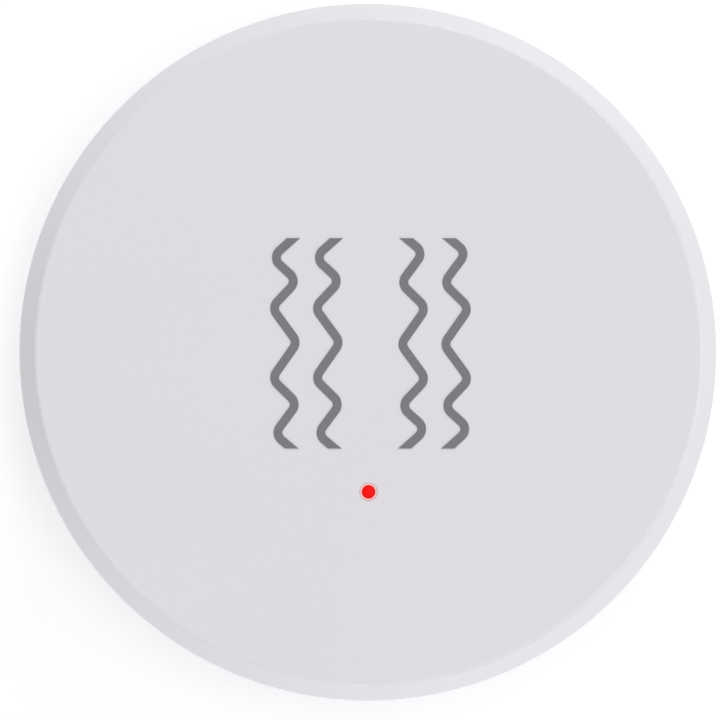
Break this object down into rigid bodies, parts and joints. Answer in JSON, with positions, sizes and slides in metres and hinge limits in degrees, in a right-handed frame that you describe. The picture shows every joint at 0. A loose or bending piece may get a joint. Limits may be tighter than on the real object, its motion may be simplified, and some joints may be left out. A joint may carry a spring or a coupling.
{
  "type": "vibration sensor tag",
  "caption": "Round white stick-on vibration sensor with a printed zigzag symbol, a red status light, a twist-off housing and a coin cell inside.",
  "frame": {"origin": "centre of the adhesive face, on the surface that the tag is stuck to", "axes": "+Z out through the front, +X to the right of the printed symbol, -Y towards the status light"},
  "size_m": [0.04, 0.04, 0.01],
  "materials": {
    "shell": "fine spark-eroded texture, cool white",
    "base": "fine spark-eroded texture, cool white",
    "ink": "pad-printed grey ink, matt",
    "light": "clear acrylic, lit red from behind",
    "adhesive": "closed-cell acrylic foam tape, tacky face",
    "foam": "open-cell black foam",
    "seal": "moulded silicone, satin",
    "tray": "moulded, light grey",
    "screw": "nickel-plated steel",
    "board": "glass-fibre laminate with green solder mask",
    "gold": "gold-flashed copper",
    "trace": "copper under solder mask",
    "chip": "moulded black epoxy",
    "tin": "tinned ends and leads",
    "crystal_case": "fired ceramic",
    "crystal_lid": "nickel-plated lid",
    "lamp_base": "white moulded resin",
    "lamp_lens": "clear cast epoxy",
    "capacitor": "fired tan ceramic",
    "resistor": "glazed dark film on ceramic",
    "spring": "nickel-plated spring bronze",
    "cell_steel": "drawn and nickel-plated steel",
    "cell_gasket": "moulded nylon",
    "cell_core": "pressed powder and lithium, not seen",
    "switch_base": "moulded black nylon",
    "button": "moulded red acetal"
  },
  "bodies": {
    "base": {"base_plate": "base", "adhesive_pad": "adhesive", "cell_cushion": "foam"},
    "seal": {"sealing_ring": "seal"},
    "housing": {"front_cover": "shell", "printed_symbol": "ink", "light_guide": "light", "battery_tray": "tray", "tray_screws": "screw", "circuit_board": "board", "test_pads": "gold", "antenna_trace": "trace", "microcontroller": "chip", "microcontroller_leads": "tin", "accelerometer": "chip", "crystal_cases": "crystal_case", "crystal_lids": "crystal_lid", "status_led_base": "lamp_base", "status_led_lens": "lamp_lens", "capacitor_bodies": "capacitor", "resistor_bodies": "resistor", "chip_end_caps": "tin", "bulk_capacitor": "capacitor", "negative_contact": "spring", "positive_contact": "spring", "coin_cell_can": "cell_steel", "coin_cell_cap": "cell_steel", "coin_cell_gasket": "cell_gasket", "coin_cell_core": "cell_core", "reset_switch_base": "switch_base", "reset_switch_frame": "spring", "reset_switch_dome": "spring", "reset_switch_terminals": "tin"},
    "reset_button": {"reset_plunger": "button"}
  },
  "joints": [
    {"name": "housing_lift", "type": "slide", "parent": "base", "child": "seal", "axis": [0, 0, 1], "range_m": [0, 0.009]},
    {"name": "housing_twist", "type": "hinge", "parent": "seal", "child": "housing", "pos_m": [0, 0, 0], "axis": [0, 0, 1], "range_deg": [0, 180]},
    {"name": "reset_press", "type": "slide", "parent": "housing", "child": "reset_button", "axis": [0, 0, 1], "range_m": [0, 0.00025], "stiffness_N_per_m": 4000, "deforming": ["reset_switch_dome"]}
  ],
  "couplings": [
    {"joint": "housing_lift", "follows": "housing_twist", "m_per_rad": 0.0028647}
  ]
}
